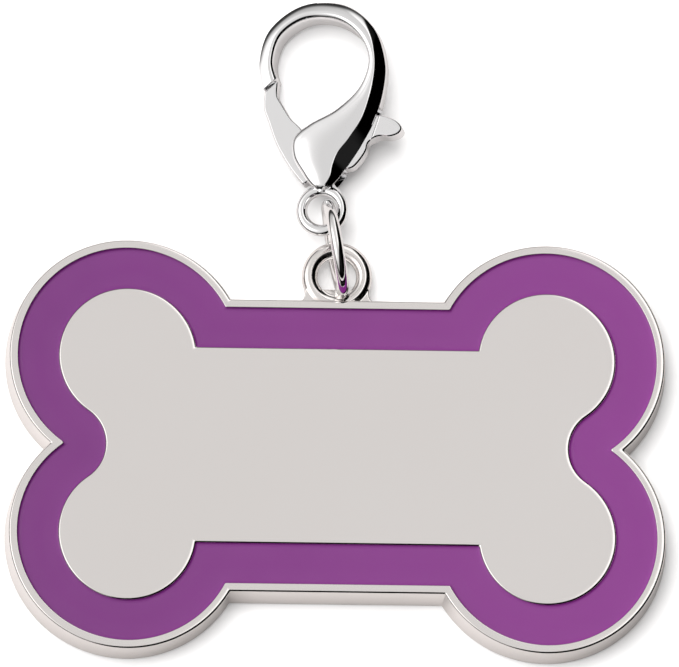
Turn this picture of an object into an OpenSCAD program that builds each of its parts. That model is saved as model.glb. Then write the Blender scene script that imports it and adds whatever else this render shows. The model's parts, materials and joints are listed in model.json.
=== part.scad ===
// Pet ID tag: a cast bone-shaped tag with an enamel band, its jump ring and a lobster clasp.
// The tag lies on its back. X runs across it, Y runs toward the clasp and Z comes up out of the face.
// The origin is the centre of the flat back.

/* [Tag] */
// Half the distance between the left and right lobe centres
lobe_x = 15.95; // [13:0.05:20]
// Radius of each lobe at the face
lobe_r = 9; // [8.6:0.05:9.8]
// How far each lobe reaches past the line between the upper and the lower lobes
lobe_cross = 2.15; // [1.8:0.05:2.6]
// How far the edge of the bar lies below the tops of the lobes
bar_step = 4.5; // [4:0.05:5]
// Thickness of the tag
tag_t = 3; // [2.8:0.1:4]
// Width that the lobes' sloping edge gains from the face to the back
lobe_foot_w = 0.25; // [0.1:0.05:0.6]
// Width that the bar's sloping edges gain from the face to the back
bar_foot_w = 0.35; // [0.1:0.05:0.8]
// Small chamfer round the face
face_chamfer = 0.12; // [0.05:0.01:0.25]

/* [Enamel] */
// Width of the raised rim round the face
rim_w = 0.65; // [0.4:0.05:1]
// Width of the enamel band between the rim and the raised panel
band_w = 3.1; // [2.4:0.05:3.6]
// Depth of the pocket that holds the enamel
pocket_d = 0.9; // [0.5:0.05:1.4]
// How far the enamel lies below the rim
enamel_low = 0.28; // [0.1:0.02:0.4]

/* [Eyelet] */
// Distance from the bar's edge to the eyelet's centre
eyelet_stand = 2.1; // [1.9:0.05:2.6]
// Mean radius of the eyelet
eyelet_r = 2.085; // [2:0.005:2.4]
// Diameter of the eyelet's round bar
eyelet_wire = 1.22; // [1:0.01:1.3]

/* [Jump ring] */
// Inner diameter of the jump ring
ring_bore = 5.6; // [5.4:0.05:6.4]
// Diameter of the jump ring's wire
ring_wire = 0.95; // [0.8:0.05:1]
// Width of the slit where the ring's ends meet
ring_slit = 0.06; // [0.03:0.01:0.15]

/* [Clasp] */
// Length from the tail loop's centre to the top of the hook
clasp_len = 16.2; // [15:0.1:18]
// Width across the hook
clasp_w = 10; // [9.4:0.1:11]
// Greatest thickness of the clasp's body
clasp_t = 2.9; // [2.7:0.05:3.2]
// Mean radius of the tail loop
loop_r = 1.57; // [1.5:0.01:1.7]
// Diameter of the tail loop's bar
loop_wire = 0.86; // [0.7:0.02:0.9]

/* [Lever] */
// Thickness of the lever's plate
lever_t = 1.3; // [1:0.05:1.4]
// Thickness of the lever's thumb tab
thumb_t = 1.75; // [1.4:0.05:1.9]
// Gap between the lever and each cheek of the body
cheek_gap = 0.08; // [0.04:0.01:0.12]
// Gap between the hook's nose and the end of the gate
nose_gap = 0.07; // [0.05:0.01:0.12]
// Diameter of the pivot pin
pin_d = 0.84; // [0.7:0.02:0.9]
// Running clearance of the lever on its pin, all round
pin_gap = 0.04; // [0.02:0.01:0.06]
// Diameter of the lever spring's wire
spring_wire = 0.26; // [0.2:0.02:0.3]

/* [Hidden] */
$fn = 72;
// How far every cut runs past the surface it opens
cut = 0.3;

// The height of the upper lobe centres and of the bar's edge, from the tag's middle
lobe_y = lobe_r - lobe_cross;
bar_y = lobe_y + lobe_r - bar_step;
// The tag's outline at the pocket and the panel
pocket_r = lobe_r - rim_w;
pocket_y = bar_y - rim_w;
panel_r = pocket_r - band_w;
panel_y = pocket_y - band_w;
pocket_floor = tag_t - pocket_d;
// The point where the pocket's upper and lower lobes meet, and the waist that the panel keeps round it
notch_x = lobe_x + sqrt(pow(pocket_r, 2) - pow(lobe_y, 2));
notch_ease = 0.02;
waist_share = (panel_r - notch_ease) / pocket_r;
waist_x = lobe_x + (notch_x - lobe_x) * waist_share;
waist_y = lobe_y * (1 - waist_share);

// The eyelet stands clear of the ring's wire, which passes below it
link_gap = 0.15;
eyelet_y = bar_y + eyelet_stand;
eyelet_z = ring_wire + link_gap + eyelet_wire / 2;
// The web that ties the eyelet to the tag's edge
web_foot = 3.15;
web_top = 2.3;
web_rise = 0.85;
web_t = 0.8;
web_sink = 0.3;

// The ring stands on its edge, turned and leaning a little, with its wire against the foot of the eyelet
ring_turn = 10;
ring_lean = 2.5;
ring_r = (ring_bore + ring_wire) / 2;
ring_x = -0.25;
ring_z = ring_r * cos(ring_lean) + ring_wire / 2;
foot_gap = 0.03;
foot_reach = ring_r + (ring_wire + eyelet_wire) / 2 + foot_gap;
ring_y = eyelet_y - eyelet_r + sqrt(pow(foot_reach, 2) - pow(ring_z - eyelet_z, 2));
slit_angle = 2 * asin(ring_slit / 2 / ring_r);
slit_place = 40;

// The clasp lies on its hook's left side and on the ring, rolled so that its right side is higher
clasp_roll = -13;
rest_share = 0.43;
rest_ease = 0.03;
clasp_z = rest_share * clasp_w * sin(-clasp_roll) + clasp_t / 2 * cos(clasp_roll) + rest_ease;
loop_off_x = 0.47;
loop_off_y = 0.3;
loop_chord = sqrt(pow(ring_r, 2) - pow(ring_z - clasp_z, 2));
loop_pos = [
    ring_x - loop_chord * sin(ring_turn) + (ring_z - clasp_z) * sin(ring_lean) - loop_off_x,
    ring_y + loop_chord * cos(ring_turn) + loop_off_y,
    clasp_z
];

// Ribs of the clasp's body, from the hook's nose round to the tail. Each rib has its outer point, its
// inner point, both as shares of the clasp's width and length, its thickness as a share, the share of its
// width that slopes down to the outer edge, and the share of its height that the slope takes.
rib_shares = [
    [-0.440, 0.580, -0.328, 0.629, 0.86, 0.40, 0.24],
    [-0.468, 0.712, -0.359, 0.719, 0.92, 0.42, 0.26],
    [-0.384, 0.871, -0.291, 0.838, 0.95, 0.44, 0.28],
    [-0.129, 0.981, -0.099, 0.910, 0.97, 0.48, 0.34],
    [0.190, 0.978, 0.130, 0.900, 1, 0.48, 0.40],
    [0.417, 0.864, 0.305, 0.823, 1, 0.48, 0.46],
    [0.504, 0.703, 0.382, 0.703, 1, 0.44, 0.46],
    [0.486, 0.550, 0.310, 0.572, 1, 0.40, 0.48],
    [0.420, 0.417, 0.130, 0.470, 1, 0.28, 0.46],
    [0.322, 0.303, -0.072, 0.405, 1, 0.24, 0.46],
    [0.249, 0.233, -0.198, 0.341, 1, 0.26, 0.46],
    [0.189, 0.180, -0.205, 0.251, 0.96, 0.23, 0.44],
    [0.135, 0.135, -0.136, 0.167, 0.88, 0.20, 0.36],
    [0.080, 0.103, -0.078, 0.118, 0.78, 0.24, 0.32],
    [0.036, 0.089, -0.030, 0.092, 0.60, 0.30, 0.30]
];
rib_steps = 5;
// Half of a rib's section, as shares of its thickness: the small bevel at its inner edge, the crown from
// there to the slope, as the way along it and the height there, and the slope, as the way down it and the
// part of its loss that is reached there
inner_edge_share = 0.13;
crown_shares = [[0, 0.97], [0.4, 1], [0.8, 0.995], [1, 0.985]];
slope_shares = [[0.12, 0.10], [0.5, 0.48], [1, 1]];

// The slot between the cheeks, which the lever moves in, as shares of the clasp's width and length.
// It leaves the hook's root and the tail joined.
slot_shares = [
    [-0.560, 0.530], [0.040, 0.530], [0.075, 0.426], [0.140, 0.404], [0.540, 0.500],
    [0.540, 0.070], [0.125, 0.111], [0.035, 0.136], [-0.062, 0.136],
    [-0.095, 0.114], [-0.105, 0.080], [-0.560, 0.080]
];

// The lever's pivot and outline, as shares of the clasp's width and length
pivot_share = [-0.055, 0.1975];
gate_outer_shares = [
    [-0.443, 0.497], [-0.408, 0.430], [-0.355, 0.333], [-0.290, 0.253],
    [-0.228, 0.191], [-0.172, 0.145], [-0.138, 0.121]
];
heel_shares = [
    [-0.113, 0.127], [-0.055, 0.148], [-0.010, 0.155], [0.025, 0.176], [0.080, 0.176],
    [0.165, 0.184], [0.228, 0.189], [0.266, 0.202], [0.314, 0.236], [0.350, 0.272]
];
thumb_shares = [
    [0.372, 0.312], [0.448, 0.336], [0.540, 0.334], [0.600, 0.345], [0.627, 0.367],
    [0.613, 0.391], [0.560, 0.419], [0.480, 0.438], [0.405, 0.436], [0.260, 0.392]
];
crotch_shares = [
    [0.120, 0.352], [0.035, 0.327], [-0.035, 0.330], [-0.110, 0.361], [-0.172, 0.404],
    [-0.233, 0.443], [-0.294, 0.506], [-0.335, 0.556]
];
gate_narrow = 0.08;
// The part of the lever outside the cheeks, which is thicker
pad_shares = [[0.452, 0.440], [0.372, 0.300], [0.700, 0.300], [0.700, 0.480]];
lever_steps = 3;

// The spring is a hairpin in the cavity above the lever's crotch: its eye, the angles where its two legs
// leave the eye, and the legs' ends
eye_share = [0.035, 0.370];
eye_r = 0.34;
bridge_leg_angle = 30;
bridge_leg_share = [0.175, 0.402];
gate_leg_angle = 150;
gate_leg_share = [-0.130, 0.388];

// How far the pin reaches from the clasp's middle plane, to the front and to the back
pin_front = 0.7 * clasp_t / 2;
pin_back = 0.86 * clasp_t / 2;

// The neck between the tail loop and the body
neck_low_r = 0.5;
neck_top_r = 0.78;
neck_foot = loop_r - loop_wire / 4;
neck_h = 0.75;
// The flat shoulders that tie the tail loop to the body on both sides of the neck, as shares of the
// loop's mean radius
shoulder_shares = [[-1.21, 0.38], [1.21, 0.38], [0.92, 0.96], [0.6, 1.21], [-0.57, 1.15], [-0.89, 0.89]];
shoulder_t = 0.43;

chrome = "gainsboro";
silver = "silver";

// Turns shares of the clasp's width and length into a point
function sized(share) = [share.x * clasp_w, share.y * clasp_len];

// A smooth curve through all the points, with steps pieces between each two
function curve_at(p, i, u) =
    let (
        last = len(p) - 1,
        a = p[max(i - 1, 0)],
        b = p[i],
        c = p[min(i + 1, last)],
        d = p[min(i + 2, last)]
    )
    (2 * b + (c - a) * u + (2 * a - 5 * b + 4 * c - d) * u * u + (3 * b - a - 3 * c + d) * u * u * u) / 2;
function curve(p, steps) = [
    for (i = [0:len(p) - 2]) for (k = [0:steps - 1]) curve_at(p, i, k / steps),
    p[len(p) - 1]
];

// A frame on the tail loop's centre, with its Z out of the clasp's front
module in_clasp() {
    translate(loop_pos) rotate([0, clasp_roll, 0]) children();
}

// A frame on the ring's centre, with its Z along the ring's axis
module in_ring() {
    translate([ring_x, ring_y, ring_z]) rotate([0, 90 - ring_lean, ring_turn]) children();
}

module each_lobe() {
    for (x = [-lobe_x, lobe_x]) for (y = [-lobe_y, lobe_y]) translate([x, y]) children();
}

// One drafted layer of the tag: four cones and the bar between them
module tag_layer(z, h, low_spread, low_bar, top_spread, top_bar) {
    translate([0, 0, z]) {
        each_lobe() cylinder(h = h, r1 = lobe_r + low_spread, r2 = lobe_r + top_spread);
        rotate([90, 0, 90]) linear_extrude(2 * lobe_x, center = true) polygon([
            [-bar_y - low_bar, 0], [bar_y + low_bar, 0],
            [bar_y + top_bar, h], [-bar_y - top_bar, h]
        ]);
    }
}

module pocket_outline() {
    each_lobe() circle(pocket_r);
    square([2 * lobe_x, 2 * pocket_y], center = true);
}

// The raised panel keeps the band's width all round, also at the notch between its lobes
module panel_outline() {
    difference() {
        union() {
            each_lobe() circle(panel_r);
            square([2 * lobe_x, 2 * panel_y], center = true);
            for (side = [-1, 1]) polygon([
                [0, lobe_y], [side * lobe_x, lobe_y], [side * waist_x, waist_y],
                [side * waist_x, -waist_y], [side * lobe_x, -lobe_y], [0, -lobe_y]
            ]);
        }
        for (side = [-1, 1]) translate([side * notch_x, 0]) circle(band_w - notch_ease);
    }
}

module band_outline() {
    difference() {
        pocket_outline();
        panel_outline();
    }
}

module eyelet() {
    translate([0, eyelet_y, eyelet_z]) rotate_extrude() translate([eyelet_r, 0]) circle(eyelet_wire / 2);
    difference() {
        translate([0, bar_y, eyelet_z])
            linear_extrude(web_t, center = true) polygon([
                [-web_foot, -web_sink], [web_foot, -web_sink], [web_foot, 0],
                [web_top, web_rise], [-web_top, web_rise], [-web_foot, 0]
            ]);
        translate([0, eyelet_y, 0]) cylinder(h = tag_t + cut, r = eyelet_r);
    }
}

module tag_body() {
    color(silver) {
        difference() {
            union() {
                tag_layer(0, tag_t - face_chamfer, lobe_foot_w, bar_foot_w, 0, 0);
                tag_layer(tag_t - face_chamfer, face_chamfer, 0, 0, -face_chamfer, -face_chamfer);
            }
            translate([0, 0, pocket_floor]) linear_extrude(pocket_d + cut) band_outline();
        }
        eyelet();
    }
}

module enamel_band() {
    color("darkorchid") translate([0, 0, pocket_floor]) linear_extrude(pocket_d - enamel_low) band_outline();
}

module jump_ring() {
    color(chrome) in_ring() rotate(slit_place)
        rotate_extrude(angle = 360 - slit_angle) translate([ring_r, 0]) circle(ring_wire / 2);
}

// A rib's whole section: the share that slopes, its loss, and the width as a share of the half thickness
function rib_section(slope, drop, wide) =
    let (
        bevel = inner_edge_share / wide,
        first = crown_shares[0],
        last = crown_shares[len(crown_shares) - 1],
        upper = concat(
            [[0, first.y - inner_edge_share]],
            [for (c = crown_shares) [bevel + c.x * (1 - slope - bevel), c.y]],
            [for (d = slope_shares) [1 - slope + slope * d.x, last.y - drop * d.y]]
        )
    )
    concat(upper, [for (i = [len(upper) - 1:-1:0]) [upper[i].x, -upper[i].y]]);

// The body's shell, lofted through all its ribs
module clasp_shell() {
    ribs = curve(rib_shares, rib_steps);
    count = 2 * (1 + len(crown_shares) + len(slope_shares));
    points = [
        for (r = ribs)
            let (inner = sized([r[2], r[3]]), outer = sized([r[0], r[1]]), half = r[4] * clasp_t / 2)
            for (q = rib_section(r[5], r[6], norm(outer - inner) / half))
                let (p = inner + (outer - inner) * q.x)
                [p.x, p.y, q.y * half]
    ];
    sides = [
        for (i = [0:len(ribs) - 2]) for (j = [0:count - 1])
            let (a = i * count, b = a + count, k = (j + 1) % count)
            each [[a + j, b + k, b + j], [a + j, a + k, b + k]]
    ];
    first_end = [for (j = [count - 1:-1:0]) j];
    last_end = [for (j = [0:count - 1]) (len(ribs) - 1) * count + j];
    polyhedron(points, concat(sides, [first_end, last_end]));
}

module at_pivot() {
    translate(sized(pivot_share)) children();
}

module clasp_body() {
    color(chrome) in_clasp() {
        difference() {
            clasp_shell();
            linear_extrude(lever_t + 2 * cheek_gap, center = true) polygon([for (s = slot_shares) sized(s)]);
            at_pivot() translate([0, 0, -clasp_t]) cylinder(h = clasp_t + pin_front, d = pin_d);
        }
        rotate_extrude() translate([loop_r, 0]) circle(loop_wire / 2);
        translate([0, neck_foot, 0]) rotate([-90, 0, 0]) cylinder(h = neck_h, r1 = neck_low_r, r2 = neck_top_r);
        difference() {
            linear_extrude(shoulder_t, center = true) polygon(loop_r * shoulder_shares);
            cylinder(h = shoulder_t + cut, r = loop_r, center = true);
        }
    }
}

// The lever's outline starts and ends at the hook's nose, a gap away from it
module lever_outline() {
    nose_outer = sized([rib_shares[0][0], rib_shares[0][1]]);
    nose_inner = sized([rib_shares[0][2], rib_shares[0][3]]);
    along = (nose_inner - nose_outer) / norm(nose_inner - nose_outer);
    away = [along.y, -along.x];
    rest = concat(gate_outer_shares, heel_shares, thumb_shares, crotch_shares);
    polygon(curve(concat(
        [nose_outer + away * nose_gap],
        [for (s = rest) sized(s)],
        [nose_inner + away * nose_gap - along * gate_narrow]
    ), lever_steps));
}

module clasp_lever() {
    color(chrome) in_clasp() {
        difference() {
            linear_extrude(lever_t, center = true) lever_outline();
            at_pivot() cylinder(h = lever_t + cut, d = pin_d + 2 * pin_gap, center = true);
        }
        linear_extrude(thumb_t, center = true) intersection() {
            lever_outline();
            polygon([for (s = pad_shares) sized(s)]);
        }
    }
}

module pivot_pin() {
    color(silver) in_clasp() at_pivot() translate([0, 0, -pin_back]) cylinder(h = pin_back + pin_front, d = pin_d);
}

// A straight length of spring wire between two points of the clasp's middle plane
module spring_leg(from, to) {
    run = to - from;
    translate(from) rotate([0, 90, atan2(run.y, run.x)]) cylinder(h = norm(run), d = spring_wire);
}

module lever_spring() {
    eye = sized(eye_share);
    eye_sweep = 360 + bridge_leg_angle - gate_leg_angle;
    color("dimgray") in_clasp() {
        translate(eye) rotate(gate_leg_angle)
            rotate_extrude(angle = eye_sweep) translate([eye_r, 0]) circle(spring_wire / 2);
        for (leg = [[bridge_leg_angle, bridge_leg_share], [gate_leg_angle, gate_leg_share]])
            spring_leg(eye + eye_r * [cos(leg[0]), sin(leg[0])], sized(leg[1]));
    }
}

tag_body();
enamel_band();
jump_ring();
clasp_body();
clasp_lever();
pivot_pin();
lever_spring();
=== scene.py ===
"""An enamelled bone-shaped pet ID tag with its jump ring and lobster clasp, dressed for the studio.

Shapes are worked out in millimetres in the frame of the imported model, and scaled to metres at the end.
"""

import json
import math

import bmesh
import bpy
from mathutils import Matrix, Vector


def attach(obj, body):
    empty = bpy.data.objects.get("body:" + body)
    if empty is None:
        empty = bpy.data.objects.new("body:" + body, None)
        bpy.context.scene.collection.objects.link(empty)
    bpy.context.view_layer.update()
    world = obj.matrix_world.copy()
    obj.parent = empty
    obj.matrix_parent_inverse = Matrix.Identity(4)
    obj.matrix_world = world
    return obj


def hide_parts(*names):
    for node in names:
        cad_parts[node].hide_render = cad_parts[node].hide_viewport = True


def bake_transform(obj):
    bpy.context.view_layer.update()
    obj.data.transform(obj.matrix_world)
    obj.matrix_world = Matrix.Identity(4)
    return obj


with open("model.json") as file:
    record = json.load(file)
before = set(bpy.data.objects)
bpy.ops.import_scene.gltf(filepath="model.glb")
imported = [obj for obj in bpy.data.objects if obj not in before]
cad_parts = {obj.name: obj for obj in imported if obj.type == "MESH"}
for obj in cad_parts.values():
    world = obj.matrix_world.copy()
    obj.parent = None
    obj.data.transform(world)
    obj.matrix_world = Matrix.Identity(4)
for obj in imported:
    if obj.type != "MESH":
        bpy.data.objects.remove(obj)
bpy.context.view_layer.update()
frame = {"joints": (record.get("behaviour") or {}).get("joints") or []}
joints = {joint["name"]: joint for joint in frame["joints"]}
MM = 0.001

# Tag
LOBE_X = 15.95
LOBE_Y = 6.85
LOBE_R = 9.0
BAR_Y = 11.35
TAG_T = 3.0
# How much wider the back is than the face, at the lobes and along the bar
LOBE_FOOT = 0.25
BAR_FOOT = 0.35
BACK_ROUND = 0.2
# The outer wall has loops this far from the back's rounding, and this far below the rim's chamfer
BACK_HOLD = 0.05
RIM_HOLD = 0.1
NOTCH_FILLET = 0.1
BAR_FILLET = 0.14

# Rounded chamfers: the radius of the top, the length of the slope and the radius at the wall
RIM_CHAMFER = (0.17, 0.055, 0.05)
POCKET_CHAMFER = (0.06, 0.02, 0.04)
PANEL_CHAMFER = (0.16, 0.05, 0.05)
PLATE_CHAMFER = (0.10, 0.09, 0.05)
# The width and the drop of the faint fall that leads up to a chamfer
RIM_DOME = (0.22, 0.018)
PANEL_DOME = (0.22, 0.016)
# A short straight stretch that holds the shading at both ends of a chamfer
HOLD = 0.04

# Rim, enamel and panel
RIM_W = 0.65
BAND_W = 3.1
POCKET_FILLET = 0.14
PANEL_FILLET = 0.1
POCKET_FLOOR = 2.1
ENAMEL_Z = 2.70
# The pocket's and the panel's walls have a loop this far below the enamel
WALL_FOOT = 0.1
MENISCUS_W = 0.34
MENISCUS_H = 0.07
# Share of the meniscus's width, and share of its height there
MENISCUS = [
    (0, 1.0), (0.08, 0.80), (0.18, 0.60), (0.3, 0.42), (0.45, 0.24), (0.62, 0.10), (0.8, 0.02), (1, 0),
]

# Eyelet
EYELET_STAND = 2.1
EYELET_R = 2.085
EYELET_WIRE = 1.22
EYELET_Z = 1.71
WEB_FILLET = 0.75
WEB_T = 0.8
WEB_SINK = 0.6
CAST_VOXEL = 0.055

# Jump ring, a hair inside the solid
RING_R = 3.274
RING_WIRE = 0.95
RING_SLIT = 0.06
RING_TURN = math.radians(10)
RING_LEAN = math.radians(2.5)
SLIT_PLACE = math.radians(40)
SLIT_EASE = 0.012
# Share of the wire's radius and push outward of the loops that round a wire's end
END_CAPS = ((0.94, 0.075), (0.78, 0.135))

# Clasp
CLASP_LEN = 16.2
CLASP_W = 10.0
CLASP_T = 2.9
CLASP_ROLL = math.radians(-13)
LOOP_R = 1.57
LOOP_WIRE = 0.86
NECK_FOOT = LOOP_R - LOOP_WIRE / 4
NECK_H = 0.75
# Share of the neck's height, and its radius there
NECK_PROFILE = ((0, 0.52), (0.25, 0.5), (0.5, 0.55), (0.75, 0.65), (1, 0.76))
SHOULDER_SHARES = [(1.21, 0.38), (0.92, 0.96), (0.6, 1.21), (-0.57, 1.15), (-0.89, 0.89), (-1.21, 0.38)]
SHOULDER_T = 0.43
# How far the ribs' outer ends stay inside the solid
SKIN = 0.026
# The bevel at both walls of a rib, in half thicknesses
BEVEL = 0.012
# Share of the hook's nose, and how far back it lies
NOSE_LOOPS = ((0.86, 0.0), (0.94, 0.012), (0.985, 0.045))
NOSE_BACK = 0.11

# Lever
LEVER_T = 1.3
THUMB_T = 1.75
CHEEK_GAP = 0.08
NOSE_GAP = 0.07
PIN_D = 0.84
PIN_GAP = 0.04
PIN_ENDS = (-0.86 * CLASP_T / 2, 0.7 * CLASP_T / 2)
# Share of the pin's radius and distance from its end, for the peened end and for the chamfered end
PIN_PEEN = ((0.12, 0), (0.45, 0.01), (0.72, 0.035), (0.9, 0.08), (1, 0.16), (1, 0.2))
PIN_CHAMFER = ((1, 0.12), (1, 0.08), (0.85, 0))
SPRING_WIRE = 0.26

# Ribs of the clasp's body: outer point, inner point, thickness; the share that slopes to the outer edge,
# how far the front and the back have dropped there, and the power of that fall, from 1 for straight to 2
# for a dome; then the drop of the inner edge, and the crown's drop on its inner and its outer side
RIB_SHARES = [
    (-0.440, 0.580, -0.328, 0.629, 0.86, 0.62, 0.21, 0.26, 1.50, 0.170, 0, 0),
    (-0.468, 0.712, -0.359, 0.719, 0.92, 0.66, 0.18, 0.27, 1.50, 0.135, 0, 0),
    (-0.384, 0.871, -0.291, 0.838, 0.95, 0.66, 0.20, 0.29, 1.50, 0.155, 0, 0),
    (-0.129, 0.981, -0.099, 0.910, 0.97, 0.68, 0.24, 0.35, 1.50, 0.190, 0, 0),
    (0.190, 0.978, 0.130, 0.900, 1, 0.60, 0.32, 0.49, 1.50, 0.205, 0, 0),
    (0.417, 0.864, 0.305, 0.823, 1, 0.48, 0.32, 0.56, 1.45, 0.110, 0, 0.01),
    (0.504, 0.703, 0.382, 0.703, 1, 0.59, 0.60, 0.62, 1.12, 0.080, 0, 0.02),
    (0.486, 0.550, 0.310, 0.572, 1, 0.44, 0.51, 0.51, 1.00, 0.110, 0.01, 0.05),
    (0.420, 0.417, 0.130, 0.470, 1, 0.28, 0.49, 0.49, 1.00, 0.170, 0.03, 0.07),
    (0.322, 0.303, -0.072, 0.405, 1, 0.24, 0.49, 0.49, 1.00, 0.200, 0.06, 0.08),
    (0.249, 0.233, -0.198, 0.341, 1, 0.25, 0.49, 0.49, 1.00, 0.225, 0.08, 0.08),
    (0.189, 0.180, -0.205, 0.251, 0.96, 0.23, 0.47, 0.47, 1.00, 0.235, 0.08, 0.07),
    (0.135, 0.135, -0.136, 0.167, 0.88, 0.20, 0.39, 0.39, 1.00, 0.250, 0.07, 0.05),
    (0.080, 0.103, -0.078, 0.118, 0.78, 0.24, 0.34, 0.34, 1.20, 0.190, 0.04, 0.03),
    (0.036, 0.089, -0.030, 0.092, 0.60, 0.30, 0.31, 0.31, 1.40, 0.090, 0.01, 0.02),
]
# Where the crown is highest, as a share of its width
CREST_SHARE = 0.45
# The width of the rolled inner edge in half thicknesses, and its most as a share of the rib's width
EDGE_W_SHARE = 0.42
EDGE_W_MOST = 0.29
# The nearest that the slope may start to that edge, in widths of the edge
SLOPE_FIRST = 1.2
# Points up a rib's inner wall: a share of the wall's height, and the drops of the next two from its top
INNER_WALL = (0.6, 0.05, 0.018)
# Points down its outer wall: the drop of the first from its top, and a share of the wall's height
OUTER_WALL = (0.04, 0.5)
SLOT_SHARES = [
    (-0.560, 0.530), (0.040, 0.530), (0.075, 0.426), (0.140, 0.404), (0.540, 0.500),
    (0.540, 0.070), (0.125, 0.111), (0.035, 0.136), (-0.062, 0.136),
    (-0.095, 0.114), (-0.105, 0.080), (-0.560, 0.080),
]
PIVOT_SHARE = (-0.055, 0.1975)
GATE_SHARES = [
    (-0.443, 0.497), (-0.408, 0.430), (-0.355, 0.333), (-0.290, 0.253),
    (-0.228, 0.191), (-0.172, 0.145), (-0.138, 0.121),
]
HEEL_SHARES = [
    (-0.113, 0.127), (-0.055, 0.148), (-0.010, 0.155), (0.025, 0.176), (0.080, 0.176),
    (0.165, 0.184), (0.228, 0.189), (0.266, 0.202), (0.314, 0.236), (0.350, 0.272),
]
THUMB_SHARES = [
    (0.372, 0.312), (0.448, 0.336), (0.540, 0.334), (0.600, 0.345), (0.627, 0.367),
    (0.613, 0.391), (0.560, 0.419), (0.480, 0.438), (0.405, 0.436), (0.260, 0.392),
]
# The thumb tab is thicker beyond the line through these two points
PAD_SHARES = [(0.452, 0.440), (0.372, 0.300)]
CROTCH_SHARES = [
    (0.120, 0.352), (0.035, 0.327), (-0.035, 0.330), (-0.110, 0.361), (-0.172, 0.404),
    (-0.233, 0.443), (-0.294, 0.506), (-0.335, 0.556),
]
# How much narrower the gate's end is than the hook's nose
GATE_NARROW = 0.08
# A corner of an inset outline moves by at most the inset over the first of these, and a point of it has
# crossed where it lies nearer to the outline than the second, a share of the inset
LEAN_LEAST = 0.5
CROSS_SHARE = 0.99
# The hairpin spring: its eye, and where its two legs leave the eye and end
EYE_SHARE = (0.035, 0.370)
EYE_R = 0.34
BRIDGE_LEG_ANGLE = math.radians(390)
BRIDGE_LEG_SHARE = (0.175, 0.402)
GATE_LEG_ANGLE = math.radians(150)
GATE_LEG_SHARE = (-0.130, 0.388)

# Where the ring and the clasp lie
RING_FRAME = (
    Matrix.Translation(Vector(joints["clasp_fold"]["pos_m"]) / MM)
    @ Matrix.Rotation(RING_TURN, 4, "Z")
    @ Matrix.Rotation(math.pi / 2 - RING_LEAN, 4, "Y")
)
CLASP_FRAME = (
    Matrix.Translation(Vector(joints["lever_press"]["pos_m"]) / MM)
    @ Matrix.Rotation(CLASP_ROLL, 4, "Y")
    @ Matrix.Translation((-PIVOT_SHARE[0] * CLASP_W, -PIVOT_SHARE[1] * CLASP_LEN, 0))
)


# Curves and loops of points

def arc(x, y, radius, start, end, steps):
    """Points on an arc from one angle to another, with both ends."""
    turn = (end - start) / steps
    return [
        (x + radius * math.cos(start + turn * i), y + radius * math.sin(start + turn * i))
        for i in range(steps + 1)
    ]


def circle(x, y, radius, steps):
    """Points round a circle."""
    return arc(x, y, radius, 0, 2 * math.pi, steps)[:-1]


def round_ring(x, y, z, radius, wire_r, steps, sides):
    """The loops of a ring of round bar that lies flat."""
    return [
        [(x + (radius + u) * cos, y + (radius + u) * sin, z + v) for u, v in circle(0, 0, wire_r, sides)]
        for cos, sin in circle(0, 0, 1, steps)
    ]


def curve(points, steps):
    """A smooth curve through all the points, with steps pieces between each two."""
    last = len(points) - 1
    run = []
    for i in range(last):
        near = [points[max(i - 1, 0)], points[i], points[i + 1], points[min(i + 2, last)]]
        for k in range(steps):
            u = k / steps
            run.append(tuple(
                (2 * b + (c - a) * u + (2 * a - 5 * b + 4 * c - d) * u * u
                 + (3 * b - a - 3 * c + d) * u * u * u) / 2
                for a, b, c, d in zip(*near)
            ))
    return run + [tuple(points[last])]


def sized(share):
    """A point of the clasp's plane from its shares of the width and the length."""
    return (share[0] * CLASP_W, share[1] * CLASP_LEN)


def skin(loops, endless=False):
    """Points and faces of a skin over loops that have as many points each, capped or joined end to end."""
    count = len(loops[0])
    points = [p for loop in loops for p in loop]
    faces = []
    for i in range(len(loops) - (0 if endless else 1)):
        a = i * count
        b = (i + 1) % len(loops) * count
        for j in range(count):
            k = (j + 1) % count
            faces.append((a + j, a + k, b + k, b + j))
    if not endless:
        faces.append(tuple(range(count - 1, -1, -1)))
        faces.append(tuple(range((len(loops) - 1) * count, len(loops) * count)))
    return points, faces


# Meshes

def piece(name, points, faces):
    """A mesh object in millimetres whose faces point outward."""
    mesh = bpy.data.meshes.new(name)
    mesh.from_pydata(points, [], faces)
    work = bmesh.new()
    work.from_mesh(mesh)
    bmesh.ops.remove_doubles(work, verts=work.verts, dist=1e-5)
    bmesh.ops.recalc_face_normals(work, faces=work.faces)
    work.to_mesh(mesh)
    work.free()
    obj = bpy.data.objects.new(name, mesh)
    bpy.context.scene.collection.objects.link(obj)
    return obj


def settle(obj):
    """Puts what the object's modifiers make into its mesh."""
    graph = bpy.context.evaluated_depsgraph_get()
    mesh = bpy.data.meshes.new_from_object(obj.evaluated_get(graph))
    obj.modifiers.clear()
    obj.data = mesh


def combine(obj, other, operation):
    """Joins the other object to this one, or cuts it out, and removes the other."""
    modifier = obj.modifiers.new("combine", "BOOLEAN")
    modifier.operation = operation
    modifier.object = other
    modifier.solver = "EXACT"
    settle(obj)
    bpy.data.objects.remove(other)


def melt(obj, voxel, passes):
    """Makes one cast skin of the object's overlapping parts, with every edge softened."""
    remesh = obj.modifiers.new("melt", "REMESH")
    remesh.mode = "VOXEL"
    remesh.voxel_size = voxel
    soften = obj.modifiers.new("soften", "SMOOTH")
    soften.factor = 0.5
    soften.iterations = passes
    settle(obj)


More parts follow.
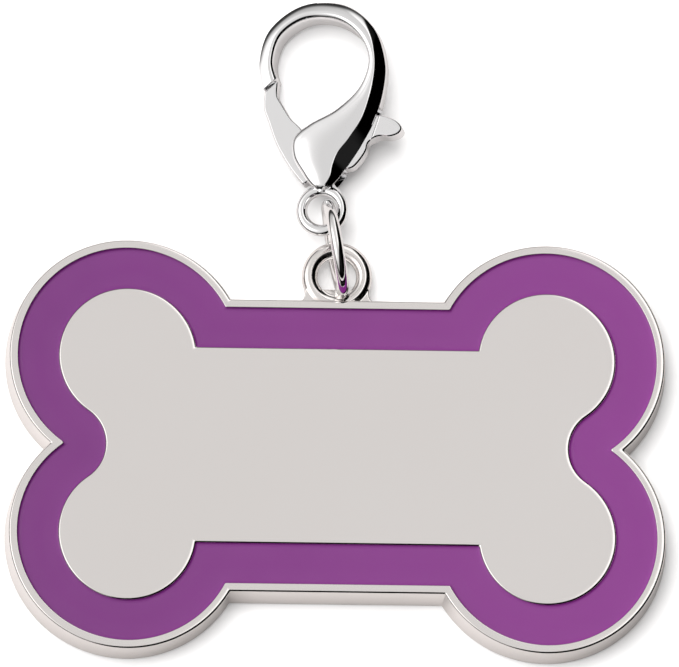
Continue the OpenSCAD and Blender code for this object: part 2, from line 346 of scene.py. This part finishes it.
def shade(obj, sharp_angle):
    """Smooth faces, with the edges over an angle kept sharp."""
    work = bmesh.new()
    work.from_mesh(obj.data)
    for face in work.faces:
        face.smooth = True
    for edge in work.edges:
        edge.smooth = len(edge.link_faces) != 2 or edge.calc_face_angle() < math.radians(sharp_angle)
    work.to_mesh(obj.data)
    work.free()


def place(obj, matrix):
    """Moves the mesh itself, so that the object stays at the origin."""
    obj.data.transform(matrix)


def dress(obj, material, body, node, sharp_angle=50):
    """Shades a finished mesh, scales it to metres, gives it its material and the body it rides on, and
    hides the imported part it replaces.
    """
    shade(obj, sharp_angle)
    obj.data.transform(Matrix.Scale(MM, 4))
    obj.data.materials.clear()
    obj.data.materials.append(material)
    if body:
        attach(obj, body)
    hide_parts(node)
    return obj


# Materials

def new_material(name):
    """A new material, with its node tree and its shader."""
    material = bpy.data.materials.new(name)
    material.use_nodes = True
    tree = material.node_tree
    return material, tree, tree.nodes["Principled BSDF"]


def add(tree, kind, **settings):
    """A new node with its attributes and its inputs set. Inputs are named with underscores for spaces."""
    node = tree.nodes.new(kind)
    for key, value in settings.items():
        if hasattr(node, key):
            setattr(node, key, value)
        else:
            node.inputs[key.replace("_", " ")].default_value = value
    return node


def spread(tree, source, low, high):
    """Maps a 0 to 1 value to a range."""
    mapped = add(tree, "ShaderNodeMapRange")
    mapped.inputs["From Min"].default_value = 0.0
    mapped.inputs["From Max"].default_value = 1.0
    mapped.inputs["To Min"].default_value = low
    mapped.inputs["To Max"].default_value = high
    tree.links.new(source, mapped.inputs["Value"])
    return mapped.outputs["Result"]


def plated_metal(name, color, tint, rough_low, rough_high, grain, bump):
    """Plated metal: cloudy colour, and a fine grain in its gloss and its surface."""
    material, tree, shader = new_material(name)
    links = tree.links
    where = add(tree, "ShaderNodeTexCoord").outputs["Object"]

    clouds = add(tree, "ShaderNodeTexNoise", Scale=90.0, Detail=3.0, Roughness=0.55)
    links.new(where, clouds.inputs["Vector"])
    mix = add(tree, "ShaderNodeMix", data_type="RGBA")
    mix.inputs[6].default_value = (*color, 1)
    mix.inputs[7].default_value = (*tint, 1)
    links.new(clouds.outputs["Fac"], mix.inputs[0])
    links.new(mix.outputs[2], shader.inputs["Base Color"])

    fine = add(tree, "ShaderNodeTexNoise", Scale=grain, Detail=4.0, Roughness=0.6)
    links.new(where, fine.inputs["Vector"])
    links.new(spread(tree, fine.outputs["Fac"], rough_low, rough_high), shader.inputs["Roughness"])

    relief = add(tree, "ShaderNodeBump", Strength=bump, Distance=0.00002)
    links.new(fine.outputs["Fac"], relief.inputs["Height"])
    links.new(relief.outputs["Normal"], shader.inputs["Normal"])
    shader.inputs["Metallic"].default_value = 1.0
    return material


def enamel_fill(name):
    """Soft enamel: purple and a little cloudy, with painted light that makes it lighter to the right, and
    a faint ripple in its gloss.
    """
    material, tree, shader = new_material(name)
    links = tree.links
    where = add(tree, "ShaderNodeTexCoord").outputs["Object"]
    clouds = add(tree, "ShaderNodeTexNoise", Scale=240.0, Detail=2.0, Roughness=0.5)
    links.new(where, clouds.inputs["Vector"])
    mix = add(tree, "ShaderNodeMix", data_type="RGBA")
    mix.inputs[6].default_value = (0.112, 0.0135, 0.123, 1)
    mix.inputs[7].default_value = (0.172, 0.0215, 0.180, 1)
    parts = add(tree, "ShaderNodeSeparateXYZ")
    links.new(where, parts.inputs[0])
    # Painted light: the enamel's purple grows lighter toward the tag's right side
    painted_light_ramp = add(tree, "ShaderNodeMapRange")
    painted_light_ramp.inputs["From Min"].default_value = -LOBE_X * 1.5 * MM
    painted_light_ramp.inputs["From Max"].default_value = LOBE_X * 1.5 * MM
    links.new(parts.outputs["X"], painted_light_ramp.inputs["Value"])
    blend = add(tree, "ShaderNodeMath", operation="ADD")
    links.new(spread(tree, painted_light_ramp.outputs["Result"], 0.0, 0.75), blend.inputs[0])
    links.new(spread(tree, clouds.outputs["Fac"], 0.0, 0.25), blend.inputs[1])
    links.new(blend.outputs["Value"], mix.inputs[0])
    links.new(mix.outputs[2], shader.inputs["Base Color"])
    ripple = add(tree, "ShaderNodeTexNoise", Scale=420.0, Detail=2.0)
    links.new(where, ripple.inputs["Vector"])
    links.new(spread(tree, ripple.outputs["Fac"], 0.16, 0.26), shader.inputs["Roughness"])
    relief = add(tree, "ShaderNodeBump", Strength=0.12, Distance=0.00003)
    links.new(ripple.outputs["Fac"], relief.inputs["Height"])
    links.new(relief.outputs["Normal"], shader.inputs["Normal"])
    shader.inputs["IOR"].default_value = 1.5
    return material


TAG_METAL = plated_metal(
    "tag_metal", (0.92, 0.885, 0.865), (0.94, 0.91, 0.895), 0.09, 0.15, 5200.0, 0.12
)
RING_METAL = plated_metal(
    "ring_metal", (0.93, 0.92, 0.915), (0.955, 0.945, 0.94), 0.05, 0.09, 2400.0, 0.05
)
CHROME = plated_metal(
    "clasp_chrome", (0.93, 0.93, 0.94), (0.95, 0.95, 0.955), 0.035, 0.06, 2200.0, 0.03
)
# A lighter copy of the clasp's chrome: painted light that brightens the lever's gate
LIT_LEVER_CHROME = plated_metal(
    "lever_chrome", (0.96, 0.96, 0.97), (0.975, 0.975, 0.98), 0.05, 0.10, 2600.0, 0.05
)
PIN_STEEL = plated_metal(
    "pin_steel", (0.55, 0.55, 0.55), (0.63, 0.62, 0.61), 0.2, 0.34, 5200.0, 0.3
)
SPRING_STEEL = plated_metal(
    "spring_steel", (0.30, 0.30, 0.31), (0.38, 0.38, 0.38), 0.22, 0.36, 6200.0, 0.3
)
ENAMEL = enamel_fill("enamel")


# Tag

def bone_quarter(lobe, bar, notch_fillet, bar_fillet):
    """A quarter of the bone's outline, from its side notch over a lobe to the middle of the bar."""
    notch = LOBE_X + math.sqrt((lobe + notch_fillet) ** 2 - LOBE_Y ** 2)
    rise = bar + bar_fillet - LOBE_Y
    step = LOBE_X - math.sqrt((lobe + bar_fillet) ** 2 - rise ** 2)
    start = math.atan2(-LOBE_Y, notch - LOBE_X)
    end = math.atan2(rise, step - LOBE_X)
    return (
        arc(notch, 0, notch_fillet, math.pi, math.pi + start, steps=10)[:-1]
        + arc(LOBE_X, LOBE_Y, lobe, start, end, steps=84)[:-1]
        + arc(step, bar + bar_fillet, bar_fillet, end - math.pi, -math.pi / 2, steps=5)[:-1]
        + [(step * (1 - i / 10), bar) for i in range(11)]
    )


def bone_loop(lobe_out, bar_out, z, notch_fillet=NOTCH_FILLET, bar_fillet=BAR_FILLET):
    """The whole outline at a height, moved out from the face's edge, or in where that is negative."""
    quarter = bone_quarter(LOBE_R + lobe_out, BAR_Y + bar_out, notch_fillet, bar_fillet)
    loop = []
    for side, end, forward in ((1, 1, True), (-1, 1, False), (-1, -1, True), (1, -1, False)):
        turned = [(side * x, end * y, z) for x, y in quarter]
        loop += turned[:-1] if forward else turned[:0:-1]
    return loop


def soft_chamfer(size, steps=4, dome=None):
    """Inset and drop along a rounded chamfer, from the flat top over its slope down to the wall."""
    top_r, slope, side_r = size
    half = math.pi / 4
    run = [(-HOLD, 0.0)]
    first = 0.0
    in_x, in_z = 0.0, 0.0
    if dome:
        run += [(dome[0] * i / 5, dome[1] * (i / 5) ** 2) for i in range(5)]
        first = math.atan(2 * dome[1] / dome[0])
        in_x, in_z = dome
    for i in range(steps + 1):
        a = first + (half - first) * i / steps
        run.append((
            in_x + top_r * (math.sin(a) - math.sin(first)),
            in_z + top_r * (math.cos(first) - math.cos(a)),
        ))
    in_x, in_z = run[-1]
    in_x += slope * math.cos(half)
    in_z += slope * math.sin(half)
    for i in range(steps + 1):
        a = half + half * i / steps
        run.append((
            in_x + side_r * (math.sin(a) - math.sin(half)),
            in_z + side_r * (math.cos(half) - math.cos(a)),
        ))
    run.append((run[-1][0], run[-1][1] + HOLD))
    reach = run[-1][0]
    return [(reach - x, z) for x, z in run]


def tag_wall():
    """Loops up the outer wall, from the flat back to the rounded chamfer round the face."""
    loops = []
    chamfer = soft_chamfer(RIM_CHAMFER, dome=RIM_DOME)
    top = TAG_T - chamfer[-1][1]
    back = [(BACK_ROUND + BACK_HOLD, 0.0)]
    for i in range(6):
        a = math.pi / 2 * i / 5
        back.append((BACK_ROUND * (1 - math.sin(a)), BACK_ROUND * (1 - math.cos(a))))
    back += [(0.0, BACK_ROUND + BACK_HOLD), (0.0, TAG_T / 2), (0.0, top - RIM_HOLD)]
    for inset, z in back:
        left = 1 - z / top
        loops.append(bone_loop(LOBE_FOOT * left - inset, BAR_FOOT * left - inset, z))
    for inset, drop in reversed(chamfer):
        loops.append(bone_loop(-inset, -inset, TAG_T - drop))
    return loops


def pocket_wall():
    """Loops from the rim's inner edge down to the pocket's floor."""
    loops = []
    for out, drop in soft_chamfer(POCKET_CHAMFER, steps=3):
        loops.append(bone_loop(out - RIM_W, out - RIM_W, TAG_T - drop, POCKET_FILLET))
    for z in (ENAMEL_Z - WALL_FOOT, POCKET_FLOOR + HOLD, POCKET_FLOOR):
        loops.append(bone_loop(-RIM_W, -RIM_W, z, POCKET_FILLET))
    return loops


def panel_wall():
    """Loops from the pocket's floor up the panel's wall and over its rounded edge."""
    inset = RIM_W + BAND_W
    loops = [
        bone_loop(-inset, -inset, z, BAND_W, PANEL_FILLET)
        for z in (POCKET_FLOOR, POCKET_FLOOR + HOLD, ENAMEL_Z - WALL_FOOT)
    ]
    for out, drop in reversed(soft_chamfer(PANEL_CHAMFER, dome=PANEL_DOME)):
        loops.append(bone_loop(-inset - out, -inset - out, TAG_T - drop, BAND_W + out, PANEL_FILLET))
    return loops


def eyelet():
    """The eyelet's round bar and the web that ties it to the tag's edge, cast in one."""
    loops = round_ring(0, BAR_Y + EYELET_STAND, EYELET_Z, EYELET_R, EYELET_WIRE / 2, steps=120, sides=32)
    points, faces = skin(loops, endless=True)

    rim = EYELET_R + EYELET_WIRE / 2
    foot_x = math.sqrt((rim + WEB_FILLET) ** 2 - (EYELET_STAND - WEB_FILLET) ** 2)
    toward = math.atan2(EYELET_STAND - WEB_FILLET, -foot_x)
    right = arc(foot_x, BAR_Y + WEB_FILLET, WEB_FILLET, -math.pi / 2, toward - 2 * math.pi, steps=10)
    left = [(-px, py) for px, py in reversed(right)]
    low = BAR_Y - WEB_SINK
    outline = [(foot_x, low)] + right + left + [(-foot_x, low)]
    web_points, web_faces = skin([
        [(px, py, EYELET_Z + side * WEB_T / 2) for px, py in outline] for side in (-1, 1)
    ])
    shift = len(points)
    obj = piece(
        "eyelet",
        points + web_points,
        faces + [tuple(i + shift for i in face) for face in web_faces],
    )
    melt(obj, CAST_VOXEL, passes=6)
    return obj


def tag_body():
    """The cast tag, with its rim, pocket, panel and eyelet."""
    loops = tag_wall() + pocket_wall() + panel_wall()
    obj = piece("bone_casting", *skin(loops))
    combine(obj, eyelet(), "UNION")
    return dress(obj, TAG_METAL, "tag", "tag_body")


def enamel_band():
    """The enamel between the rim and the panel, drawn up a little at both."""
    outer = [bone_loop(-RIM_W, -RIM_W, POCKET_FLOOR, POCKET_FILLET)]
    inner = [bone_loop(-RIM_W - BAND_W, -RIM_W - BAND_W, POCKET_FLOOR, BAND_W, PANEL_FILLET)]
    for share, rise in MENISCUS:
        s = share * MENISCUS_W
        z = ENAMEL_Z + rise * MENISCUS_H
        outer.append(bone_loop(-RIM_W - s, -RIM_W - s, z, max(POCKET_FILLET, s)))
        far = RIM_W + BAND_W - s
        inner.append(bone_loop(-far, -far, z, BAND_W - s, PANEL_FILLET))
    loops = outer + list(reversed(inner))
    obj = piece("enamel_fill", *skin(loops, endless=True))
    return dress(obj, ENAMEL, "tag", "enamel_band")


# Jump ring

def tube(path, radius, sides):
    """A round tube along points of a plane curve, with rounded ends."""
    up = Vector((0, 0, 1))
    loops = []
    count = len(path)
    for i, p in enumerate(path):
        ahead = Vector((*path[min(i + 1, count - 1)], 0)) - Vector((*path[max(i - 1, 0)], 0))
        side = ahead.normalized().cross(up)
        loops.append([
            tuple(Vector((*p, 0)) + radius * (math.cos(a) * side + math.sin(a) * up))
            for a in (2 * math.pi * j / sides for j in range(sides))
        ])
    caps = []
    for end, before in ((0, 1), (-1, -2)):
        here = Vector((*path[end], 0))
        out = (here - Vector((*path[before], 0))).normalized()
        caps.append([
            [tuple(here + (Vector(q) - here) * share + out * push * radius) for q in loops[end]]
            for share, push in END_CAPS
        ])
    return skin(list(reversed(caps[0])) + loops + caps[1])


def jump_ring():
    """Round wire bent to a circle, with a slit where its ends meet."""
    half = math.asin(RING_SLIT / 2 / RING_R) + SLIT_EASE
    path = arc(0, 0, RING_R, SLIT_PLACE + half, SLIT_PLACE + 2 * math.pi - half, steps=200)
    obj = piece("ring_wire", *tube(path, RING_WIRE / 2, sides=40))
    place(obj, RING_FRAME)
    return dress(obj, RING_METAL, "ring", "jump_ring")


# Clasp

def half_section(slope, drop, power, edge_drop, crown, wide):
    """A rib's front half, from its inner to its outer edge. Its width is given in half thicknesses."""
    inner_drop, outer_drop = crown
    edge = min(EDGE_W_SHARE / wide, EDGE_W_MOST)
    top = 1 - edge_drop
    share, first, second = INNER_WALL
    run = [(0, 0), (0, top * share), (0, top - first), (BEVEL / wide, top - second)]
    for i in range(1, 8):
        run.append((edge * i / 8, 1 - inner_drop - (edge_drop - inner_drop) * (1 - i / 8) ** 2))
    start = max(1 - slope, edge * SLOPE_FIRST)
    for i in range(13):
        x = i / 12
        side, reach = (inner_drop, CREST_SHARE) if x < CREST_SHARE else (outer_drop, 1 - CREST_SHARE)
        run.append((edge + (start - edge) * x, 1 - side * ((x - CREST_SHARE) / reach) ** 2))
    fall = drop - outer_drop
    for i in range(1, 13):
        x = i / 12
        run.append((start + (1 - start) * x, 1 - outer_drop - fall * x ** power))
    top = 1 - drop
    wall = 1 + BEVEL / wide
    first, share = OUTER_WALL
    return run + [(wall, top - first), (wall, top * share), (wall, 0)]


def rib_section(rib, wide):
    """A rib's whole section, its front half and its back half."""
    slope, drop, back_drop, power, edge_drop, *crown = rib[5:]
    front = half_section(slope, drop, power, edge_drop, crown, wide)
    back = half_section(slope, back_drop, power, edge_drop, crown, wide)
    return front + [(x, -z) for x, z in reversed(back[1:-1])]


def middle(loop):
    """The mean of a loop's points."""
    return Vector(tuple(sum(values) / len(loop) for values in zip(*loop)))


def clasp_shell():
    """The hook and the leaf, lofted through all their ribs, with a softened nose."""
    loops = []
    for rib in curve(RIB_SHARES, steps=12):
        outer = Vector(sized(rib[0:2]))
        inner = Vector(sized(rib[2:4]))
        outer -= (outer - inner).normalized() * SKIN
        half = rib[4] * CLASP_T / 2
        section = rib_section(rib, (outer - inner).length / half)
        loops.append([(*(inner + (outer - inner) * x), z * half) for x, z in section])
    nose = middle(loops[0])
    away = (nose - middle(loops[1])).normalized()
    blunt = [
        [tuple(nose + (Vector(p) - nose) * share - away * back) for p in loops[0]]
        for share, back in NOSE_LOOPS
    ]
    loops[0] = [tuple(Vector(p) - away * NOSE_BACK) for p in loops[0]]
    return piece("clasp_casting", *skin(blunt + loops))


def slot_cutter():
    """The space between the cheeks that the lever turns in."""
    half = LEVER_T / 2 + CHEEK_GAP
    return piece("slot", *skin([[(*sized(s), z) for s in SLOT_SHARES] for z in (-half, half)]))


def tail_loop():
    """The loop that the jump ring passes through."""
    loops = round_ring(0, 0, 0, LOOP_R, LOOP_WIRE / 2, steps=96, sides=28)
    return piece("tail_loop", *skin(loops, endless=True))


def neck():
    """The waisted neck between the tail loop and the leaf."""
    return piece("neck", *skin([
        [(x, NECK_FOOT + share * NECK_H, z) for x, z in circle(0, 0, radius, steps=32)]
        for share, radius in NECK_PROFILE
    ]))


def shoulders():
    """The flat web that fills the corners between the tail loop and the leaf."""
    x, y = SHOULDER_SHARES[0]
    start = math.atan2(y, x)
    outline = [(x * LOOP_R, y * LOOP_R) for x, y in SHOULDER_SHARES]
    outline += reversed(arc(0, 0, LOOP_R, start, math.pi - start, steps=24))
    half = SHOULDER_T / 2
    return piece("shoulders", *skin([[(*p, z) for p in outline] for z in (-half, half)]))


def clasp_body():
    """The hook, the slotted leaf, the neck and the tail loop, cast in one."""
    obj = clasp_shell()
    combine(obj, slot_cutter(), "DIFFERENCE")
    for part in (shoulders, neck, tail_loop):
        combine(obj, part(), "UNION")
    place(obj, CLASP_FRAME)
    return dress(obj, CHROME, "clasp", "clasp_body", sharp_angle=38)


def lever_outline():
    """The lever's outline, from the hook's nose round the gate, the heel and the thumb tab."""
    outer = Vector(sized(RIB_SHARES[0][0:2]))
    inner = Vector(sized(RIB_SHARES[0][2:4]))
    along = (inner - outer).normalized()
    away = Vector((along.y, -along.x))
    shares = GATE_SHARES + HEEL_SHARES + THUMB_SHARES + CROTCH_SHARES
    points = [tuple(outer + away * NOSE_GAP)] + [sized(s) for s in shares]
    points.append(tuple(inner + away * NOSE_GAP - along * GATE_NARROW))
    return curve(points, steps=8)


def inset_outline(outline, distance):
    """An outline moved inward along its normals. Points that would cross at a corner are spread evenly."""
    moved = []
    kept = []
    count = len(outline)
    for i, p in enumerate(outline):
        here = Vector(p)
        back = (here - Vector(outline[i - 1])).normalized()
        ahead = (Vector(outline[(i + 1) % count]) - here).normalized()
        bisector = back + ahead
        normal = Vector((-bisector.y, bisector.x)).normalized()
        lean = max(LEAN_LEAST, normal.dot(Vector((-ahead.y, ahead.x))))
        moved.append(here + normal * distance / lean)
        if min(math.dist(moved[-1], q) for q in outline) > abs(distance) * CROSS_SHARE:
            kept.append(i)
    for first, second in zip(kept, kept[1:] + [kept[0] + count]):
        for i in range(first + 1, second):
            share = (i - first) / (second - first)
            moved[i % count] = moved[first].lerp(moved[second % count], share)
    return [tuple(p) for p in moved]


def soft_plate(name, outline, thickness):
    """A plate with a rounded chamfer round both faces."""
    half = thickness / 2
    edge = soft_chamfer(PLATE_CHAMFER)
    loops = []
    for inset, drop in edge:
        loops.append([(*p, half - drop) for p in inset_outline(outline, inset)])
    for inset, drop in reversed(edge):
        loops.append([(*p, drop - half) for p in inset_outline(outline, inset)])
    return piece(name, *skin(loops))


def pad_outline():
    """The part of the lever's outline that lies outside the cheeks, closed by a straight edge."""
    high, low = (Vector(sized(share)) for share in PAD_SHARES)
    edge = high - low
    beyond = [p for p in lever_outline() if edge.cross(Vector(p) - low) < 0 and p[1] > low.y]
    count = len(beyond)
    closing = [tuple(Vector(beyond[-1]).lerp(Vector(beyond[0]), i / 16)) for i in range(1, 16)]
    return beyond + closing


def clasp_lever():
    """The gate, its hub and the thicker thumb tab, all with soft edges."""
    obj = soft_plate("lever_plate", lever_outline(), LEVER_T)
    bore_r = PIN_D / 2 + PIN_GAP
    bore = circle(*sized(PIVOT_SHARE), bore_r, steps=48)
    cutter = piece("bore", *skin([[(*p, z) for p in bore] for z in (-LEVER_T, LEVER_T)]))
    combine(obj, cutter, "DIFFERENCE")
    combine(obj, soft_plate("thumb_pad", pad_outline(), THUMB_T), "UNION")
    place(obj, CLASP_FRAME)
    return dress(obj, LIT_LEVER_CHROME, "lever", "clasp_lever", sharp_angle=40)


def pivot_pin():
    """The pin, with a peened end at the back and a chamfer at the front."""
    back, front = PIN_ENDS
    profile = [(share, back + z) for share, z in PIN_PEEN]
    profile += [(share, front - z) for share, z in PIN_CHAMFER]
    loops = [
        [(*p, z) for p in circle(*sized(PIVOT_SHARE), share * PIN_D / 2, steps=48)]
        for share, z in profile
    ]
    obj = piece("rivet", *skin(loops))
    place(obj, CLASP_FRAME)
    return dress(obj, PIN_STEEL, "clasp", "pivot_pin")


def lever_spring():
    """A hairpin of wire: one leg on the slot's wall, the eye, and one leg that moves with the lever."""
    eye = sized(EYE_SHARE)
    turn = arc(*eye, EYE_R, GATE_LEG_ANGLE, BRIDGE_LEG_ANGLE, steps=40)
    gate_leg = curve([sized(GATE_LEG_SHARE), turn[0]], steps=10)
    bridge_leg = curve([turn[-1], sized(BRIDGE_LEG_SHARE)], steps=10)
    obj = piece("hairpin", *tube(gate_leg[:-1] + turn + bridge_leg[1:], SPRING_WIRE / 2, sides=16))
    place(obj, CLASP_FRAME)
    dress(obj, SPRING_STEEL, None, "lever_spring")
    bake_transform(obj)
    return obj


# Studio

# Camera: the picture's width and the focal length in pixels, the rest in millimetres
PHOTO_W = 679
FOCAL_PX = 15788.0
TARGET = Vector((0.1285, 8.767, 3.0))
DISTANCE = 1200.0
TOWARD_CAMERA = Vector((-0.06, -0.2235, math.sqrt(1 - 0.06 ** 2 - 0.2235 ** 2)))
CAMERA_ROLL = 0.0002

# The sky's strength is the product of these: the axis that a ramp runs along, from where to where on it,
# and the strength before and after
RIGHT = (0.995, 0.08, 0.0)
SKY = (
    (RIGHT, -0.62, -0.28, 1.0, 0.68),                  # a little less toward the right
    (RIGHT, 0.12, 0.28, 1.0, 1.75),                    # the bright edge before the dark side
    (RIGHT, 0.44, 0.54, 1.0, 0.012),                   # the dark side
    ((0.80, -0.60, 0.0), 0.26, 0.38, 1.0, 0.012),      # and its near end
    ((-0.90, -0.10, 0.42), 0.74, 0.95, 0.88, 1.6),     # a glow at the left
    ((0.0, 1.0, 0.0), 0.70, 0.95, 1.0, 1.35),          # a glow at the far side
    ((0, 0, 1), 0.14, 0.34, 0.045, 0.55),              # the dark horizon
    ((0, 0, 1), 0.20, 0.80, 1.0, 2.15),                # up to the zenith
)

# Lamp and floor, in metres
KEY_PLACE = (-0.15, 0.11, 0.60)
KEY_AIM = (0, 0.008, 0)
KEY_SIZE = 0.48
KEY_ENERGY = 4.9
KEY_COLOR = (1.0, 0.99, 0.98)
FLOOR_HALF = 0.7
FLOOR_DROP = 0.00002
FLOOR_WHITE = (0.90, 0.90, 0.905, 1)
FLOOR_IN_METAL = (0.56, 0.54, 0.535, 1)
FLOOR_LIFT = 0.06


def studio_camera():
    """A long lens above the tag, a little toward its lower left."""
    camera = bpy.data.objects.new("camera", bpy.data.cameras.new("camera"))
    bpy.context.scene.collection.objects.link(camera)
    right = Vector((0, 1, 0)).cross(TOWARD_CAMERA).normalized()
    up = TOWARD_CAMERA.cross(right)
    turned = Matrix.Rotation(CAMERA_ROLL, 3, TOWARD_CAMERA)
    right = turned @ right
    up = turned @ up
    axes = Matrix((right, up, TOWARD_CAMERA)).transposed().to_4x4()
    camera.matrix_world = Matrix.Translation((TARGET + TOWARD_CAMERA * DISTANCE) * MM) @ axes
    camera.data.sensor_width = 36.0
    camera.data.lens = FOCAL_PX / PHOTO_W * camera.data.sensor_width
    camera.data.clip_start = 0.01
    bpy.context.scene.camera = camera


def studio_world():
    """A pale sky that darkens toward the horizon, with a dark side at the right."""
    world = bpy.data.worlds.new("studio")
    world.use_nodes = True
    bpy.context.scene.world = world
    tree = world.node_tree
    links = tree.links
    direction = add(tree, "ShaderNodeTexCoord").outputs["Generated"]

    def facing(axis):
        dot = add(tree, "ShaderNodeVectorMath", operation="DOT_PRODUCT")
        dot.inputs[1].default_value = axis
        links.new(direction, dot.inputs[0])
        return dot.outputs["Value"]

    def ramp(value, start, end, low, high):
        mapped = add(tree, "ShaderNodeMapRange", interpolation_type="SMOOTHSTEP")
        mapped.inputs["From Min"].default_value = start
        mapped.inputs["From Max"].default_value = end
        mapped.inputs["To Min"].default_value = low
        mapped.inputs["To Max"].default_value = high
        links.new(value, mapped.inputs["Value"])
        return mapped.outputs["Result"]

    strength = None
    for axis, *levels in SKY:
        part = ramp(facing(axis), *levels)
        if strength is None:
            strength = part
            continue
        times = add(tree, "ShaderNodeMath", operation="MULTIPLY")
        links.new(strength, times.inputs[0])
        links.new(part, times.inputs[1])
        strength = times.outputs["Value"]
    background = tree.nodes["Background"]
    links.new(strength, background.inputs["Strength"])
    background.inputs["Color"].default_value = (1.0, 0.985, 0.975, 1)


def key_lamp():
    """A square soft lamp that shines at the object and isn't seen in it."""
    data = bpy.data.lights.new("key", "AREA")
    data.shape = "SQUARE"
    data.size = KEY_SIZE
    data.energy = KEY_ENERGY
    data.color = KEY_COLOR
    lamp = bpy.data.objects.new("key", data)
    bpy.context.scene.collection.objects.link(lamp)
    lamp.location = KEY_PLACE
    toward = Vector(KEY_PLACE) - Vector(KEY_AIM)
    lamp.rotation_euler = toward.to_track_quat("Z", "Y").to_euler()
    lamp.visible_glossy = False


def studio_floor():
    """A sheet that reads as plain white, greys in the object's shadow, and is greyer in the metal."""
    around = ((-1, -1), (1, -1), (1, 1), (-1, 1))
    corners = [(x * FLOOR_HALF, y * FLOOR_HALF, -FLOOR_DROP) for x, y in around]
    mesh = bpy.data.meshes.new("floor")
    mesh.from_pydata(corners, [], [(0, 1, 2, 3)])
    floor = bpy.data.objects.new("floor", mesh)
    bpy.context.scene.collection.objects.link(floor)
    material, tree, shader = new_material("white_sheet")
    shader.inputs["Roughness"].default_value = 0.9
    shader.inputs["Specular IOR Level"].default_value = 0.1
    rays = add(tree, "ShaderNodeLightPath")
    tone = add(tree, "ShaderNodeMix", data_type="RGBA")
    tone.inputs[6].default_value = FLOOR_WHITE
    tone.inputs[7].default_value = FLOOR_IN_METAL
    tree.links.new(rays.outputs["Is Glossy Ray"], tone.inputs[0])
    tree.links.new(tone.outputs[2], shader.inputs["Base Color"])
    lift = add(tree, "ShaderNodeMath", operation="MULTIPLY")
    lift.inputs[1].default_value = FLOOR_LIFT
    tree.links.new(rays.outputs["Is Camera Ray"], lift.inputs[0])
    shader.inputs["Emission Color"].default_value = (1, 1, 1, 1)
    tree.links.new(lift.outputs["Value"], shader.inputs["Emission Strength"])
    mesh.materials.append(material)


tag_body()
enamel_band()
jump_ring()
clasp_body()
clasp_lever()
pivot_pin()
lever_spring()

studio_camera()
studio_world()
studio_floor()
key_lamp()
bpy.context.scene.view_settings.view_transform = "Standard"
